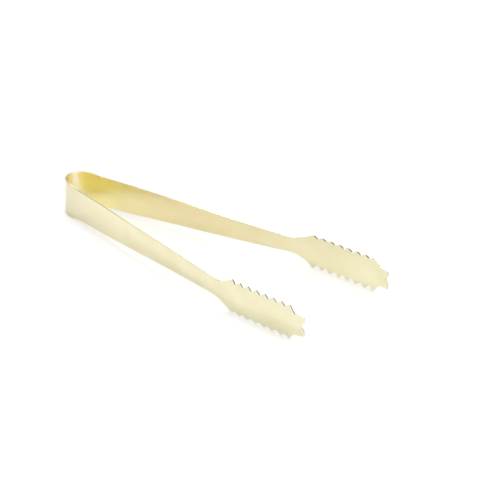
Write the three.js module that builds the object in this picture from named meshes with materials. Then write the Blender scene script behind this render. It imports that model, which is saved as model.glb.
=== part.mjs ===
// Ice tongs: one blanked and bent spring strip, lying on its long edges.
// Millimetres. +X runs from the spring bow to the claw tips, +Y is the left
// arm, +Z is up (the width of the strip). The origin is under the centre of
// the bounding box, on the plane that the edges rest on.
//
// The strip flexes along its length, so it is divided at the lines where the
// bending is taken: bow, two shoulders, two grips, and two stiff outer arms
// that carry the claws.
import * as THREE from 'three';
import { mergeVertices } from 'three/addons/utils/BufferGeometryUtils.js';

// ---- driving dimensions ----------------------------------------------------
const THICK = 1.0;          // sheet thickness
const HALF_W = 9.0;         // half width of the strip at the bow and over the tooth tips

// centreline of the outer face, one side, by arc length s from the bow's apex
const ARC_LEN = 15.7;       // length of the curved bow, apex to arm
const ARC_SKEW = -0.7;      // negative: the bow is tightest at its apex
const ARM_ANGLE = 9.9;      // deg, arm's outward slope where it leaves the bow
const ARM_SPLAY = 1.0;      // deg, extra outward slope gained along the arm
const ARM_LEN = 127.3;      // bow to the middle of the claw's bend
const JAW_TURN = 9.8;       // deg, inward bend that sets the claw parallel to X
const TURN_LEN = 16.0;      // length over which that bend is made
const JAW_LEN = 43.9;       // middle of the bend to the nose
const NOSE_CURL = 12.8;     // deg, inward curl of the nose
const CURL_LEN = 12.0;

// half width along the strip: [s, half width]
const WIDTH = [[0, 9.0], [9.3, 9.0], [20.5, 8.09], [37.3, 7.72], [59.7, 6.82], [82.1, 6.04],
  [104.5, 5.21], [119, 4.66], [127.2, 4.36], [131.0, 4.55], [134.0, 5.45], [136.5, 6.50], [138.8, 7.70]];

// cross-section: flat up to CUP_START, then a shallow trough, crown outwards
const CUP_START = 60, CUP_FULL = 105, CUP_R_ARM = 25;
const CUP_JAW_FROM = 112, CUP_JAW_TO = 140, CUP_R_JAW = 30;

// saw teeth on both long edges of the claw
const TOOTH_FIRST = 141.0;  // s of the first tooth tip
const TOOTH_PITCH = 5.24;
const TOOTH_COUNT = 8;      // per edge
const TOOTH_DEPTH = 1.8;

// toothed nose: a notch after the last side tooth, then two blunt teeth
const NOTCH_S = 181.0, NOTCH_V = 5.45;
const NOSE_S = 186.9, NOSE_V_OUT = 5.0, NOSE_V_IN = 2.2;
const NOSE_NOTCH = 1.9;     // depth of the notch on the centreline

// lines where the strip is divided, and the gap left there
const FLEX_A = 15, FLEX_B = 40, FLEX_C = 74, NECK = 127;
const GAP = 0.3;

// ---- centreline ------------------------------------------------------------
const rad = Math.PI / 180;
const smooth = (a, b, s) => { const u = Math.min(1, Math.max(0, (s - a) / (b - a))); return u * u * (3 - 2 * u); };
const clamp01 = (u) => Math.min(1, Math.max(0, u));
const TOTAL = ARC_LEN + ARM_LEN + JAW_LEN;

function slope(s) {
  const u = clamp01(s / ARC_LEN), g = u + ARC_SKEW * (u * u - u);
  const bend = ARC_LEN + ARM_LEN;
  return rad * (ARM_ANGLE + (90 - ARM_ANGLE) * (1 - g)
    + ARM_SPLAY * clamp01((s - ARC_LEN) / ARM_LEN)
    - JAW_TURN * smooth(bend - TURN_LEN / 2, bend + TURN_LEN / 2, s)
    - NOSE_CURL * clamp01((s - (TOTAL - CURL_LEN)) / CURL_LEN));
}

const STEP = 0.05;
const table = [[0, 0]];
for (let i = 0; i * STEP < TOTAL + 1; i++) {
  const a = slope((i + 0.5) * STEP), p = table[i];
  table.push([p[0] + Math.cos(a) * STEP, p[1] + Math.sin(a) * STEP]);
}
function centre(s) {
  const f = s / STEP, i = Math.floor(f), u = f - i, p = table[i], q = table[i + 1];
  return [p[0] + (q[0] - p[0]) * u, p[1] + (q[1] - p[1]) * u];
}

// monotone cubic through the width stations
const slopes = WIDTH.map((p, i) => {
  if (i === 0 || i === WIDTH.length - 1) return 0;
  const [a, b, c] = [WIDTH[i - 1], p, WIDTH[i + 1]];
  const d1 = (b[1] - a[1]) / (b[0] - a[0]), d2 = (c[1] - b[1]) / (c[0] - b[0]);
  return d1 * d2 <= 0 ? 0 : 2 * d1 * d2 / (d1 + d2);
});
slopes[WIDTH.length - 1] = 0.53;
function stripHalfWidth(s) {
  let i = 0;
  while (i < WIDTH.length - 2 && s > WIDTH[i + 1][0]) i++;
  const [s0, w0] = WIDTH[i], [s1, w1] = WIDTH[i + 1], h = s1 - s0, u = clamp01((s - s0) / h);
  const u2 = u * u, u3 = u2 * u;
  return w0 * (2 * u3 - 3 * u2 + 1) + w1 * (3 * u2 - 2 * u3) + h * (slopes[i] * (u3 - 2 * u2 + u) + slopes[i + 1] * (u3 - u2));
}
// half width of the claw, saw teeth included
const LAST_TIP = TOOTH_FIRST + TOOTH_PITCH * (TOOTH_COUNT - 1);
const flareEnd = WIDTH[WIDTH.length - 1];
function halfWidth(s) {
  if (s <= flareEnd[0]) return stripHalfWidth(s);
  if (s < TOOTH_FIRST) return flareEnd[1] + (HALF_W - flareEnd[1]) * (s - flareEnd[0]) / (TOOTH_FIRST - flareEnd[0]);
  if (s <= LAST_TIP) {
    const f = ((s - TOOTH_FIRST) / TOOTH_PITCH) % 1, k = Math.abs(2 * (f < 0 ? f + 1 : f) - 1);
    return HALF_W - TOOTH_DEPTH * (1 - k);
  }
  if (s <= NOTCH_S) return HALF_W + (NOTCH_V - HALF_W) * (s - LAST_TIP) / (NOTCH_S - LAST_TIP);
  return NOTCH_V + (NOSE_V_OUT - NOTCH_V) * (s - NOTCH_S) / (NOSE_S - NOTCH_S);
}
const cup = (s) => smooth(CUP_START, CUP_FULL, s) / CUP_R_ARM * (1 - smooth(CUP_JAW_FROM, CUP_JAW_TO, s))
  + smooth(CUP_JAW_FROM, CUP_JAW_TO, s) / CUP_R_JAW;

// point of the strip: s along, t from the outer face inwards, v across
function onStrip(s, t, v) {
  const a = Math.abs(s), side = s < 0 ? -1 : 1;
  const [x, y] = centre(a), th = slope(a), k = cup(a);
  let depth = t, z = v;
  if (k > 1e-6) {
    const ang = Math.asin(v * k);
    depth = (1 - (1 - t * k) * Math.cos(ang)) / k;
    z = (1 - t * k) * v;
  }
  return [x + depth * Math.sin(th), side * (y - depth * Math.cos(th)), z];
}

// ---- solids ----------------------------------------------------------------
// stations: rising list of s; columns: divisions across the width
function stripSolid(stations, columns, side, nose) {
  const nS = stations.length - 1;
  const g = new THREE.BoxGeometry(nS, 1, 2, nS, 1, columns);
  g.deleteAttribute('normal');
  g.deleteAttribute('uv');
  const p = g.getAttribute('position');
  for (let i = 0; i < p.count; i++) {
    const k = Math.round(p.getX(i) + nS / 2), c = p.getZ(i);
    let s = stations[k];
    const t = (p.getY(i) + 0.5) * THICK, v = c * halfWidth(Math.abs(s));
    if (nose && s > NOTCH_S) {
      // the notch on the centreline fades out towards the body of the claw
      const fade = (s - NOTCH_S) / (NOSE_S - NOTCH_S);
      s -= fade * NOSE_NOTCH * Math.max(0, 1 - Math.abs(v) / NOSE_V_IN);
    }
    const q = onStrip(side * s, t, v);
    p.setXYZ(i, q[0], q[1], q[2]);
  }
  // the mapping mirrors the box on the left side
  if (side > 0) {
    const ix = g.getIndex();
    for (let i = 0; i < ix.count; i += 3) {
      const a = ix.getX(i);
      ix.setX(i, ix.getX(i + 1));
      ix.setX(i + 1, a);
    }
  }
  const m = mergeVertices(g, 1e-5);
  m.computeVertexNormals();
  return m;
}
const span = (a, b, n) => Array.from({ length: n + 1 }, (_, i) => a + (b - a) * i / n);

const clawStations = [
  ...span(NECK + GAP / 2, 131.0, 2),
  132.5, 134.0, 135.2, 136.5, 137.7, 138.8,
  ...span(TOOTH_FIRST, LAST_TIP, 2 * (TOOTH_COUNT - 1)),
  (LAST_TIP + NOTCH_S) / 2,
  ...span(NOTCH_S, NOSE_S, 4),
];

const metal = (colour) => new THREE.MeshStandardMaterial({ color: colour, roughness: 0.22, metalness: 1.0 });
function piece(name, geometry, colour) {
  const m = new THREE.Mesh(geometry, metal(colour));
  m.name = name;
  return m;
}

const half = GAP / 2;
const tongs = new THREE.Group();
tongs.add(piece('spring_bow', stripSolid(span(-FLEX_A + half, FLEX_A - half, 32), 2, 1, false), 0xe3cc86));
for (const [tag, side] of [['left', 1], ['right', -1]]) {
  const arm = new THREE.Group();
  arm.add(piece('shoulder_' + tag, stripSolid(span(FLEX_A + half, FLEX_B - half, 8), 2, side, false), 0xe6d08e));
  arm.add(piece('grip_' + tag, stripSolid(span(FLEX_B + half, FLEX_C - half, 8), 4, side, false), 0xe8d496));
  arm.add(piece('outer_arm_' + tag, stripSolid(span(FLEX_C + half, NECK - half, 14), 4, side, false), 0xe9d69b));
  arm.add(piece('claw_' + tag, stripSolid(clawStations, 8, side, true), 0xebd9a0));
  tongs.add(arm);
}

// stand the strip on its lower edges, centred on its length
const box = new THREE.Box3().setFromObject(tongs);
tongs.position.set(-(box.min.x + box.max.x) / 2, 0, HALF_W);

const root = new THREE.Group();
root.add(tongs);
export default root;
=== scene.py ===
import math
import bpy
import numpy as np
from mathutils import Matrix, Vector


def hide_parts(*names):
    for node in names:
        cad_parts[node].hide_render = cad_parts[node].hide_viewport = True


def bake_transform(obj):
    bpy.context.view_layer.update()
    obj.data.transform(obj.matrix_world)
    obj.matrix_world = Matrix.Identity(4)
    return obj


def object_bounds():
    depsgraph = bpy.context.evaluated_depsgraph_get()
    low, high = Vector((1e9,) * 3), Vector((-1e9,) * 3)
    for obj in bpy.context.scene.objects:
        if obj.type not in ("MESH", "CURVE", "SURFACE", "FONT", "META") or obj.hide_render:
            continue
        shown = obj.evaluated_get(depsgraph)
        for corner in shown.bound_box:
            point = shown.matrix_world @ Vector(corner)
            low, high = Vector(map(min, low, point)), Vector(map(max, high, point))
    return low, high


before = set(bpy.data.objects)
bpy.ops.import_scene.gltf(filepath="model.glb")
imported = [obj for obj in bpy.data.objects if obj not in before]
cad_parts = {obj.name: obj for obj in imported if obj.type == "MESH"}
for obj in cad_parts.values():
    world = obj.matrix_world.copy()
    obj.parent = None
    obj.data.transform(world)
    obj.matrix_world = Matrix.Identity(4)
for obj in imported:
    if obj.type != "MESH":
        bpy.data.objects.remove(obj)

cad_lo, cad_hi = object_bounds()

# ---------------------------------------------------------------- camera
# the photograph's viewing angle, worked out from the object's outline
AZ, EL, ROLL = math.radians(40.28), math.radians(27.70), math.radians(0.70)
DIST, F_PX = 1.500, 3081.0
right = Vector((math.cos(AZ), math.sin(AZ), 0.0))
back = Vector((math.sin(AZ) * math.cos(EL), -math.cos(AZ) * math.cos(EL), math.sin(EL)))
up = back.cross(right)
right, up = math.cos(ROLL) * right + math.sin(ROLL) * up, -math.sin(ROLL) * right + math.cos(ROLL) * up
cam_data = bpy.data.cameras.new("camera")
cam_data.sensor_width = 36.0
cam_data.lens = 36.0 * F_PX / 500.0
cam_data.clip_start, cam_data.clip_end = 0.05, 50.0
cam = bpy.data.objects.new("camera", cam_data)
bpy.context.scene.collection.objects.link(cam)
place = Vector((0.0, 0.0, 0.009)) + back * DIST + right * 0.02265 + up * -0.00270
cam.matrix_world = Matrix((
    (right.x, up.x, back.x, place.x),
    (right.y, up.y, back.y, place.y),
    (right.z, up.z, back.z, place.z),
    (0, 0, 0, 1)))
bpy.context.scene.camera = cam

# ---------------------------------------------------------------- the strip's shape, in mm
THICK, HALF_W = 1.0, 9.0
ARC_LEN, ARC_SKEW = 15.7, -0.7
ARM_ANGLE, ARM_SPLAY, ARM_LEN = 9.9, 1.0, 127.3
JAW_TURN, TURN_LEN, JAW_LEN = 9.8, 16.0, 43.9
NOSE_CURL, CURL_LEN = 12.8, 12.0
TOTAL = ARC_LEN + ARM_LEN + JAW_LEN
WIDTH = np.array([[0, 9.0], [9.3, 9.0], [20.5, 8.09], [37.3, 7.72], [59.7, 6.82], [82.1, 6.04],
                  [104.5, 5.21], [119, 4.66], [127.2, 4.36], [131.0, 4.55], [134.0, 5.45], [136.5, 6.50], [138.8, 7.70]])
TOOTH_FIRST, TOOTH_PITCH, TOOTH_COUNT, TOOTH_DEPTH = 141.0, 5.24, 8, 1.8
LAST_TIP = TOOTH_FIRST + TOOTH_PITCH * (TOOTH_COUNT - 1)
NOTCH_S, NOTCH_V = 181.0, 5.45
NOSE_S, NOSE_V_OUT, NOSE_V_IN, NOSE_NOTCH = 186.9, 5.0, 2.2, 1.9
BEVEL = 0.16
X_OFF, Z_OFF = cad_lo.x * 1000.0, HALF_W


def smooth(a, b, s):
    u = np.clip((np.asarray(s, float) - a) / (b - a), 0, 1)
    return u * u * (3 - 2 * u)


def slope(s):
    s = np.asarray(s, float)
    u = np.clip(s / ARC_LEN, 0, 1)
    g = u + ARC_SKEW * (u * u - u)
    bend = ARC_LEN + ARM_LEN
    return np.radians(ARM_ANGLE + (90 - ARM_ANGLE) * (1 - g)
                      + ARM_SPLAY * np.clip((s - ARC_LEN) / ARM_LEN, 0, 1)
                      - JAW_TURN * smooth(bend - TURN_LEN / 2, bend + TURN_LEN / 2, s)
                      - NOSE_CURL * np.clip((s - (TOTAL - CURL_LEN)) / CURL_LEN, 0, 1))


STEP = 0.05
_n = int((TOTAL + 2) / STEP)
_mid = slope((np.arange(_n) + 0.5) * STEP)
_tx = np.concatenate([[0], np.cumsum(np.cos(_mid) * STEP)])
_ty = np.concatenate([[0], np.cumsum(np.sin(_mid) * STEP)])
_ts = np.arange(_n + 1) * STEP

_d = np.zeros(len(WIDTH))
for _i in range(1, len(WIDTH) - 1):
    _d1 = (WIDTH[_i, 1] - WIDTH[_i - 1, 1]) / (WIDTH[_i, 0] - WIDTH[_i - 1, 0])
    _d2 = (WIDTH[_i + 1, 1] - WIDTH[_i, 1]) / (WIDTH[_i + 1, 0] - WIDTH[_i, 0])
    _d[_i] = 0 if _d1 * _d2 <= 0 else 2 * _d1 * _d2 / (_d1 + _d2)
_d[-1] = 0.53


def half_width(s):
    s = abs(float(s))
    end_s, end_w = WIDTH[-1]
    if s <= end_s:
        i = int(np.clip(np.searchsorted(WIDTH[:, 0], s, side="right") - 1, 0, len(WIDTH) - 2))
        s0, w0 = WIDTH[i]
        s1, w1 = WIDTH[i + 1]
        h = s1 - s0
        u = min(1.0, max(0.0, (s - s0) / h))
        u2, u3 = u * u, u * u * u
        return (w0 * (2 * u3 - 3 * u2 + 1) + w1 * (3 * u2 - 2 * u3)
                + h * (_d[i] * (u3 - 2 * u2 + u) + _d[i + 1] * (u3 - u2)))
    if s < TOOTH_FIRST:
        return end_w + (HALF_W - end_w) * (s - end_s) / (TOOTH_FIRST - end_s)
    if s <= LAST_TIP + 1e-9:
        f = ((s - TOOTH_FIRST) / TOOTH_PITCH) % 1.0
        return HALF_W - TOOTH_DEPTH * (1 - abs(2 * f - 1))
    if s <= NOTCH_S:
        return HALF_W + (NOTCH_V - HALF_W) * (s - LAST_TIP) / (NOTCH_S - LAST_TIP)
    return NOTCH_V + (NOSE_V_OUT - NOTCH_V) * (s - NOTCH_S) / (NOSE_S - NOTCH_S)


def cup(s):
    to_jaw = smooth(112, 140, s)
    return smooth(60, 105, s) / 25.0 * (1 - to_jaw) + to_jaw / 30.0


def on_strip(s, t, v, side):
    """s along from the bow's apex, t from the outer face inwards, v across; mm in the row frame."""
    s, t, v = np.broadcast_arrays(np.asarray(s, float), np.asarray(t, float), np.asarray(v, float))
    sgn = np.where(s < 0, -1.0, 1.0)
    a = np.abs(s)
    x, y, th = np.interp(a, _ts, _tx), np.interp(a, _ts, _ty), slope(a)
    k = np.maximum(cup(a), 1e-7)
    half_chord = v * k
    depth = (1 - (1 - t * k) * np.sqrt(1 - half_chord ** 2)) / k
    depth = np.where(k < 1e-6, t, depth)
    z = np.where(k < 1e-6, v, (1 - t * k) * v)
    return np.stack([x + depth * np.sin(th) + X_OFF, side * sgn * (y - depth * np.cos(th)), z + Z_OFF], -1)


def frame_at(s, v, side):
    """Unit tangents along and across, and the outward normal of the outer face."""
    e = 0.02
    ds = on_strip(s + e, 0, v, side) - on_strip(s - e, 0, v, side)
    dv = on_strip(s, 0, v + e, side) - on_strip(s, 0, v - e, side)
    ds /= np.linalg.norm(ds, axis=-1, keepdims=True)
    dv /= np.linalg.norm(dv, axis=-1, keepdims=True)
    n = np.cross(ds, dv)
    n /= np.linalg.norm(n, axis=-1, keepdims=True)
    inward = on_strip(s, 0.5, v, side) - on_strip(s, 0, v, side)
    n *= -np.sign((n * inward).sum(-1, keepdims=True))
    return ds, dv, n


QUARTER = [0.0, 22.5, 45.0, 67.5, 90.0]


def strip_piece(name, rows, side, cols, nose=False):
    """One length of the strip as a closed mesh with rounded edges. rows: rising list of s."""
    rows = np.array(rows, float)
    n, m = len(rows) - 1, cols
    frac = np.linspace(-1, 1, m + 1)
    w = np.array([half_width(s) for s in rows])
    S = np.repeat(rows[:, None], m + 1, 1)
    V = w[:, None] * frac[None, :]
    if nose:
        fade = np.clip((S - NOTCH_S) / (NOSE_S - NOTCH_S), 0, 1)
        S = S - fade * NOSE_NOTCH * np.maximum(0, 1 - np.abs(V) / NOSE_V_IN)
    # outline: one or two open runs of (row, column)
    plus = [(i, m) for i in range(n + 1)]
    minus = [(i, 0) for i in range(n, -1, -1)]
    runs = [plus + [(n, j) for j in range(m - 1, 0, -1)] + minus] if nose else [plus, minus]
    # round the corners of teeth and nose a little, as blanking and tumbling do
    outlines = []
    for run in runs:
        p = np.array([(S[i, j], V[i, j]) for i, j in run])
        if nose:
            soft = (p[:, 0] > 138.5).astype(float)
            soft[0] = soft[-1] = 0
            for _ in range(3):
                q = p.copy()
                q[1:-1] = 0.5 * p[1:-1] + 0.25 * (p[:-2] + p[2:])
                p = p + (q - p) * soft[:, None]
        tan = np.zeros_like(p)
        tan[1:-1] = p[2:] - p[:-2]
        for end, other in ((0, 1), (-1, -2)):
            s_end, v_end = p[end]
            dw = (half_width(s_end + 0.05) - half_width(s_end - 0.05)) / 0.1
            if s_end == 0.0:
                dw = 0.0
            d = np.array([1.0, dw if v_end > 0 else -dw])
            if (p[end] - p[other])[0] * (1 if end == -1 else -1) < 0:
                d = -d
            tan[end] = d
        tan /= np.linalg.norm(tan, axis=1, keepdims=True)
        nor = np.stack([-tan[:, 1], tan[:, 0]], 1)      # left of the direction of travel
        if (nor[:, 1] * p[:, 1]).sum() < 0:
            nor = -nor
        outlines.append((run, p, nor))
    # distance from the sheared outline, for wear and a painted highlight on the rim
    allp = np.concatenate([o[1] for o in outlines])
    flat = np.stack([S.ravel(), V.ravel()], 1)
    rim = np.empty(len(flat))
    for c in range(0, len(flat), 2000):
        rim[c:c + 2000] = np.sqrt(((flat[c:c + 2000, None, :] - allp[None, :, :]) ** 2).sum(2).min(1))
    rim = rim.reshape(S.shape)
    # the face grids start inside the rounded edge
    Sg, Vg = S.copy(), V.copy()
    for run, p, nor in outlines:
        for (i, j), q, nn in zip(run, p, nor):
            Sg[i, j], Vg[i, j] = q - nn * BEVEL
            rim[i, j] = BEVEL
    co, no, uv, rm, tt = [], [], [], [], []

    def add(s, t, v, normal, rimv):
        s, v = np.asarray(s, float).ravel(), np.asarray(v, float).ravel()
        t = np.broadcast_to(np.asarray(t, float), s.shape)
        start = sum(len(c) for c in co)
        co.append(on_strip(s, t, v, side))
        no.append(normal.reshape(-1, 3))
        uv.append(np.stack([side * s * 0.01, v * 0.01], 1))
        rm.append(np.broadcast_to(np.asarray(rimv, float).ravel(), s.shape))
        tt.append(t)
        return np.arange(start, start + len(s))

    _, _, n_out = frame_at(Sg, Vg, side)
    outer = add(Sg, 0.0, Vg, n_out, rim).reshape(n + 1, m + 1)
    inner = add(Sg, THICK, Vg, -n_out, rim).reshape(n + 1, m + 1)
    faces, mats = [], []

    def quads(grid_a, mat, flip=False):
        for a, b, c, d in zip(grid_a[:-1, :-1].ravel(), grid_a[1:, :-1].ravel(), grid_a[1:, 1:].ravel(), grid_a[:-1, 1:].ravel()):
            faces.append((a, d, c, b) if flip else (a, b, c, d))
            mats.append(mat)

    quads(outer, 0)
    quads(inner, 0, True)
    caps_start, caps_end = [], []
    for run, p, nor in outlines:
        ds, dv, nn3 = frame_at(p[:, 0], p[:, 1], side)
        m3 = nor[:, :1] * ds + nor[:, 1:] * dv
        m3 /= np.linalg.norm(m3, axis=1, keepdims=True)
        layers = [np.array([outer[i, j] for i, j in run])]
        for deg in QUARTER[1:]:
            a = math.radians(deg)
            q = p - nor * BEVEL * (1 - math.sin(a))
            layers.append(add(q[:, 0], BEVEL * (1 - math.cos(a)), q[:, 1], m3 * math.sin(a) + nn3 * math.cos(a), 0.0))
        layers.append(add(p[:, 0], THICK / 2, p[:, 1], m3, 0.0))
        for deg in QUARTER[:0:-1]:
            a = math.radians(deg)
            q = p - nor * BEVEL * (1 - math.sin(a))
            layers.append(add(q[:, 0], THICK - BEVEL * (1 - math.cos(a)), q[:, 1], m3 * math.sin(a) - nn3 * math.cos(a), 0.0))
        layers.append(np.array([inner[i, j] for i, j in run]))
        L = np.array(layers)
        for li in range(len(layers) - 1):
            mat = 1 if 2 <= li <= len(layers) - 4 else 0
            for k in range(L.shape[1] - 1):
                faces.append((L[li, k], L[li, k + 1], L[li + 1, k + 1], L[li + 1, k]))
                mats.append(mat)
        first, last = list(L[:, 0]), list(L[:, -1])
        (caps_start if run[0][0] == 0 else caps_end).append((run[0][1], first))
        (caps_start if run[-1][0] == 0 else caps_end).append((run[-1][1], last))
    ncap = 0
    for row, caps in ((0, caps_start), (n, caps_end)):
        if len(caps) != 2:
            continue
        top = next(c for j, c in caps if j == m)
        low = next(c for j, c in caps if j == 0)
        # across the outer face, round the top edge, back across the inner face, round the lower edge
        loop = list(outer[row, :]) + top[1:-1] + list(inner[row, ::-1]) + low[-2:0:-1]
        faces.append(tuple(loop) if row == 0 else tuple(reversed(loop)))
        mats.append(1)
        ncap += 1
    co = np.concatenate(co) / 1000.0
    no = np.concatenate(no)
    uv = np.concatenate(uv)
    rm = np.concatenate(rm)
    tt = np.concatenate(tt)
    # consistent winding, outwards: orient every face by its analytic normal
    fixed = []
    for idx, f in enumerate(faces):
        p = co[list(f[:4])] if idx < len(faces) - ncap else co[list(f)]
        if idx < len(faces) - ncap:
            g = np.cross(p[2] - p[0], p[3] - p[1])
            if (g * no[list(f)].sum(0)).sum() < 0:
                f = tuple(reversed(f))
        fixed.append(f)
    mesh = bpy.data.meshes.new(name)
    mesh.from_pydata(co.tolist(), [], [tuple(int(x) for x in f) for f in fixed])
    mesh.update()
    # caps: point away from the piece's middle
    centre = co.mean(0)
    flip = []
    for k in range(len(fixed) - ncap, len(fixed)):
        poly = mesh.polygons[k]
        c = np.array(poly.center) - centre
        if np.dot(c, np.array(poly.normal)) < 0:
            flip.append(k)
    if flip:
        fixed = [tuple(reversed(f)) if i in flip else f for i, f in enumerate(fixed)]
        bpy.data.meshes.remove(mesh)
        mesh = bpy.data.meshes.new(name)
        mesh.from_pydata(co.tolist(), [], [tuple(int(x) for x in f) for f in fixed])
        mesh.update()
    for poly, mat in zip(mesh.polygons, mats):
        poly.material_index = mat
        poly.use_smooth = True
    layer = mesh.uv_layers.new(name="strip")
    vi = np.empty(len(mesh.loops), np.int32)
    mesh.loops.foreach_get("vertex_index", vi)
    layer.data.foreach_set("uv", uv[vi].astype(np.float32).ravel())
    for key, values in (("rim", rm), ("through", tt)):
        at = mesh.attributes.new(key, "FLOAT", "POINT")
        at.data.foreach_set("value", values.astype(np.float32))
    ln = no[vi]
    for k in range(len(fixed) - ncap, len(fixed)):
        poly = mesh.polygons[k]
        for li in poly.loop_indices:
            ln[li] = np.array(poly.normal)
    ln /= np.linalg.norm(ln, axis=1, keepdims=True)
    mesh.normals_split_custom_set(ln.tolist())
    obj = bpy.data.objects.new(name, mesh)
    bpy.context.scene.collection.objects.link(obj)
    obj.data.materials.append(face_mat)
    obj.data.materials.append(edge_mat)
    return obj


# ---------------------------------------------------------------- materials
def new_material(name):
    mat = bpy.data.materials.new(name)
    mat.use_nodes = True
    nt = mat.node_tree
    nt.nodes.clear()
    out = nt.nodes.new("ShaderNodeOutputMaterial")
    bsdf = nt.nodes.new("ShaderNodeBsdfPrincipled")
    nt.links.new(bsdf.outputs["BSDF"], out.inputs["Surface"])
    return mat, nt, bsdf


def strip_noise(nt, scale_along, scale_across, detail=3.0, roughness=0.5, seed=0.0):
    """Noise laid along the strip: its UV map runs along s and across v, 1 unit is 100 mm."""
    uvn = nt.nodes.new("ShaderNodeUVMap")
    uvn.uv_map = "strip"
    mp = nt.nodes.new("ShaderNodeMapping")
    mp.inputs["Scale"].default_value = (scale_along, scale_across, 1.0)
    mp.inputs["Location"].default_value = (seed, seed * 0.37, seed * 1.7)
    nz = nt.nodes.new("ShaderNodeTexNoise")
    nz.inputs["Scale"].default_value = 1.0
    nz.inputs["Detail"].default_value = detail
    nz.inputs["Roughness"].default_value = roughness
    nt.links.new(uvn.outputs["UV"], mp.inputs["Vector"])
    nt.links.new(mp.outputs["Vector"], nz.inputs["Vector"])
    return nz.outputs["Fac"]


def ramp(nt, fac, stops):
    cr = nt.nodes.new("ShaderNodeValToRGB")
    els = cr.color_ramp.elements
    while len(els) < len(stops):
        els.new(0.5)
    for e, (p, c) in zip(els, stops):
        e.position = p
        e.color = c if len(c) == 4 else (*c, 1.0)
    nt.links.new(fac, cr.inputs["Fac"])
    return cr.outputs["Color"]


def maprange(nt, value, a, b, c, d):
    n = nt.nodes.new("ShaderNodeMapRange")
    n.inputs["From Min"].default_value = a
    n.inputs["From Max"].default_value = b
    n.inputs["To Min"].default_value = c
    n.inputs["To Max"].default_value = d
    nt.links.new(value, n.inputs["Value"])
    return n.outputs["Result"]


def math_node(nt, op, a, b):
    n = nt.nodes.new("ShaderNodeMath")
    n.operation = op
    for i, x in enumerate((a, b)):
        if isinstance(x, (int, float)):
            n.inputs[i].default_value = x
        else:
            nt.links.new(x, n.inputs[i])
    return n.outputs[0]


def mix_color(nt, fac, a, b, mode="MIX"):
    n = nt.nodes.new("ShaderNodeMix")
    n.data_type = "RGBA"
    n.blend_type = mode
    for sock, x in ((n.inputs[0], fac), (n.inputs[6], a), (n.inputs[7], b)):
        if isinstance(x, (int, float)):
            sock.default_value = x
        elif isinstance(x, tuple):
            sock.default_value = (*x, 1.0)
        else:
            nt.links.new(x, sock)
    return n.outputs[2]


face_mat, nt, bsdf = new_material("gold_tone_face")
bsdf.inputs["Metallic"].default_value = 1.0


def along(nt):
    """Distance along the strip from the bow's apex, 1 unit is 100 mm."""
    uvn = nt.nodes.new("ShaderNodeUVMap")
    uvn.uv_map = "strip"
    sp = nt.nodes.new("ShaderNodeSeparateXYZ")
    nt.links.new(uvn.outputs["UV"], sp.inputs[0])
    return math_node(nt, "ABSOLUTE", sp.outputs["X"], 0.0)


# coating colour with painted light: the outside is a paler tone, darkened near the bow and varied along the length as
# painted shade; inside it deepens and grows more saturated from the claws towards the bow as painted reflections and
# shade of the light bouncing in the bow's hollow
dist = math_node(nt, "DIVIDE", along(nt), 1.9)
outer_gold_and_painted_shade = ramp(nt, dist, [(0.06, (0.67, 0.62, 0.45)), (0.22, (0.78, 0.735, 0.525)), (0.50, (0.74, 0.695, 0.48)), (0.85, (0.76, 0.72, 0.51))])
inner_gold_and_painted_reflections = ramp(nt, dist, [(0.02, (0.93, 0.84, 0.60)), (0.05, (0.925, 0.845, 0.44)), (0.11, (0.93, 0.86, 0.47)), (0.17, (0.85, 0.765, 0.455)),
                          (0.42, (0.715, 0.63, 0.38)), (0.70, (0.725, 0.665, 0.44)), (0.95, (0.80, 0.77, 0.54))])
attr = nt.nodes.new("ShaderNodeAttribute")
attr.attribute_name = "through"
tone = mix_color(nt, maprange(nt, attr.outputs["Fac"], 0.3, 0.7, 0.0, 1.0), outer_gold_and_painted_shade, inner_gold_and_painted_reflections)
# very slight drift of tone over the length
cloud = strip_noise(nt, 9.0, 14.0, 2.0, 0.5, 3.1)
tone = mix_color(nt, maprange(nt, cloud, 0.35, 0.65, 0.0, 1.0), tone, (0.965, 0.950, 0.915), "MULTIPLY")
# paler band along the rim: wear of the coating and a painted highlight on the edges
attr = nt.nodes.new("ShaderNodeAttribute")
attr.attribute_name = "rim"
rim_wear_and_painted_highlight = maprange(nt, attr.outputs["Fac"], 0.15, 0.65, 1.0, 0.0)
tone = mix_color(nt, math_node(nt, "MULTIPLY", rim_wear_and_painted_highlight, 0.25), tone, (0.88, 0.83, 0.66))
nt.links.new(tone, bsdf.inputs["Base Color"])
# lengthwise polishing lines: fine ones everywhere, a few deeper ones
fine = strip_noise(nt, 14.0, 900.0, 3.0, 0.6, 1.7)
deep = strip_noise(nt, 5.0, 260.0, 2.0, 0.5, 7.9)
smudge = strip_noise(nt, 16.0, 30.0, 4.0, 0.6, 5.3)
rough = maprange(nt, fine, 0.25, 0.75, 0.17, 0.25)
rough = math_node(nt, "ADD", rough, maprange(nt, smudge, 0.45, 0.75, 0.0, 0.06))
nt.links.new(rough, bsdf.inputs["Roughness"])
b1 = nt.nodes.new("ShaderNodeBump")
b1.inputs["Strength"].default_value = 0.10
b1.inputs["Distance"].default_value = 0.00004
nt.links.new(fine, b1.inputs["Height"])
b2 = nt.nodes.new("ShaderNodeBump")
b2.inputs["Strength"].default_value = 0.12
b2.inputs["Distance"].default_value = 0.00006
nt.links.new(deep, b2.inputs["Height"])
nt.links.new(b1.outputs["Normal"], b2.inputs["Normal"])
nt.links.new(b2.outputs["Normal"], bsdf.inputs["Normal"])

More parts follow.
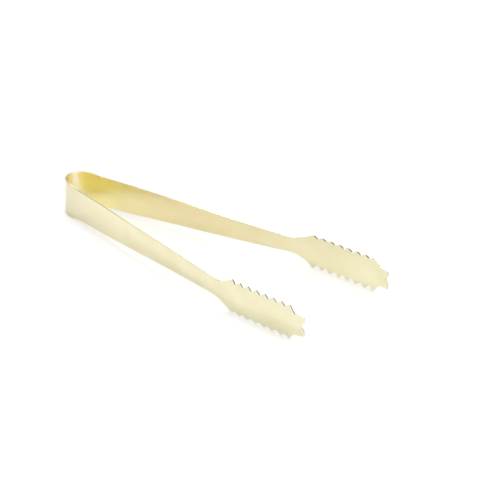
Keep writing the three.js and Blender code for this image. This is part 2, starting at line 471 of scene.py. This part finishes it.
edge_mat, nt, bsdf = new_material("gold_tone_sheared_edge")
bsdf.inputs["Metallic"].default_value = 1.0
attr = nt.nodes.new("ShaderNodeAttribute")
attr.attribute_name = "through"
grain = strip_noise(nt, 500.0, 500.0, 3.0, 0.6, 2.2)
zone = maprange(nt, attr.outputs["Fac"], 0.30, 0.50, 0.0, 1.0)
tone = mix_color(nt, zone, (0.87, 0.81, 0.60), (0.82, 0.76, 0.56))
tone = mix_color(nt, maprange(nt, grain, 0.35, 0.7, 0.0, 0.35), tone, (0.62, 0.56, 0.39))
# painted shade: the edges are darker round the spring end
tone = mix_color(nt, maprange(nt, along(nt), 0.50, 0.78, 1.0, 0.0), tone, (0.54, 0.48, 0.29))
# and along the teeth, a painted dark reflection on the flanks of the teeth
tone = mix_color(nt, math_node(nt, "MULTIPLY", maprange(nt, along(nt), 1.385, 1.40, 0.0, 0.55), zone), tone, (0.36, 0.32, 0.20))
nt.links.new(tone, bsdf.inputs["Base Color"])
nt.links.new(maprange(nt, zone, 0.0, 1.0, 0.14, 0.22), bsdf.inputs["Roughness"])
b1 = nt.nodes.new("ShaderNodeBump")
b1.inputs["Strength"].default_value = 0.15
b1.inputs["Distance"].default_value = 0.00003
nt.links.new(grain, b1.inputs["Height"])
nt.links.new(b1.outputs["Normal"], bsdf.inputs["Normal"])

# ---------------------------------------------------------------- pieces
SEAM_1, SEAM_2 = 27.5, 57.0


def rising(*parts):
    out = []
    for a, b, step in parts:
        k = max(1, int(round((b - a) / step)))
        seg = [a + (b - a) * i / k for i in range(k + 1)]
        out += seg if not out else seg[1:]
    return out


half_pitch = TOOTH_PITCH / 2
nose_rows = rising((SEAM_2, 119, 1.2), (119, 138.8, 0.45), (138.8, TOOTH_FIRST, 0.22),
                   (TOOTH_FIRST, LAST_TIP, half_pitch / 13), (LAST_TIP, NOTCH_S, 0.208), (NOTCH_S, NOSE_S, 0.21))
for tag, side in (("left", 1.0), ("right", -1.0)):
    bow_half = strip_piece("bow_and_shoulder_" + tag, rising((0.0, 18.0, 0.5), (18.0, SEAM_1, 0.8)), side, 14)
    mid = strip_piece("shoulder_and_grip_" + tag, rising((SEAM_1, SEAM_2, 1.0)), side, 14)
    jaw = strip_piece("arm_and_claw_" + tag, nose_rows, side, 50, nose=True)
    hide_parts("spring_bow", "shoulder_" + tag)
    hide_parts("shoulder_" + tag, "grip_" + tag)
    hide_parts("grip_" + tag, "outer_arm_" + tag, "claw_" + tag)

    def point(s):
        return tuple(on_strip(s, 0.5, 0.0, side) / 1000.0)

    def blend(piece, s0, s1):
        # the two points are worked out but not used; only the transform is baked
        point(s0)
        point(s1)
        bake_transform(piece)

    blend(bow_half, 4.0, 26.0)
    blend(mid, 29.0, 55.5)
    blend(jaw, 58.5, 92.0)

# ---------------------------------------------------------------- studio
floor_mesh = bpy.data.meshes.new("floor")
R = 3.0
floor_mesh.from_pydata([(-R, -R, 0), (R, -R, 0), (R, R, 0), (-R, R, 0)], [], [(0, 1, 2, 3)])
floor = bpy.data.objects.new("floor", floor_mesh)
floor.location.z = -0.0002
bpy.context.scene.collection.objects.link(floor)
fm, nt, bsdf = new_material("floor_white")
bsdf.inputs["Base Color"].default_value = (0.90, 0.90, 0.90, 1.0)
bsdf.inputs["Roughness"].default_value = 0.9
bsdf.inputs["Specular IOR Level"].default_value = 0.1
floor_mesh.materials.append(fm)

world = bpy.data.worlds.new("studio")
bpy.context.scene.world = world
world.use_nodes = True
wt = world.node_tree
wt.nodes.clear()
wo = wt.nodes.new("ShaderNodeOutputWorld")
bg = wt.nodes.new("ShaderNodeBackground")
tc = wt.nodes.new("ShaderNodeTexCoord")
sep = wt.nodes.new("ShaderNodeSeparateXYZ")
wt.links.new(tc.outputs["Generated"], sep.inputs[0])
grey = [(0.0, 1.0), (0.20, 1.0), (0.55, 0.98), (0.75, 0.72), (0.90, 0.72), (1.0, 0.85)]
col = ramp(wt, sep.outputs["Z"], [(p, (g, g, g)) for p, g in grey])


def toward(az, el, outer, inner):
    """1 within the inner angle of a direction, falling to 0 at the outer angle."""
    az, el = math.radians(az), math.radians(el)
    dot = wt.nodes.new("ShaderNodeVectorMath")
    dot.operation = "DOT_PRODUCT"
    dot.inputs[1].default_value = (math.cos(el) * math.cos(az), math.cos(el) * math.sin(az), math.sin(el))
    wt.links.new(tc.outputs["Generated"], dot.inputs[0])
    return maprange(wt, dot.outputs["Value"], math.cos(math.radians(outer)), math.cos(math.radians(inner)), 0.0, 1.0)


# the main light: one broad soft source, high at the claws' end and a little to the front
col = mix_color(wt, toward(-12, 66, 50, 15), col, (2.4, 2.4, 2.4))
# two small dark flags on the far side, which the flanks of the upper teeth mirror: near claw, then far claw
col = mix_color(wt, toward(86, 25, 25, 11), col, (0.03, 0.03, 0.025))
col = mix_color(wt, toward(44, 57, 13, 5), col, (0.03, 0.03, 0.025))
wt.links.new(col, bg.inputs["Color"])
bg.inputs["Strength"].default_value = 1.0
wt.links.new(bg.outputs[0], wo.inputs["Surface"])


def softbox(name, loc, target, size, watts, colour=(1, 1, 1)):
    ld = bpy.data.lights.new(name, "AREA")
    ld.shape = "RECTANGLE"
    ld.size, ld.size_y = size
    ld.energy = watts
    ld.color = colour
    lo = bpy.data.objects.new(name, ld)
    bpy.context.scene.collection.objects.link(lo)
    lo.location = loc
    lo.rotation_mode = "QUATERNION"
    lo.rotation_quaternion = (Vector(target) - Vector(loc)).to_track_quat("-Z", "Y")
    return lo


softbox("back", (-0.66, 0.78, 1.10), (0, 0, 0), (0.30, 0.30), 4.2)
bpy.context.scene.view_settings.view_transform = "Standard"
bpy.context.scene.view_settings.look = "None"
bpy.context.scene.view_settings.exposure = 0.0
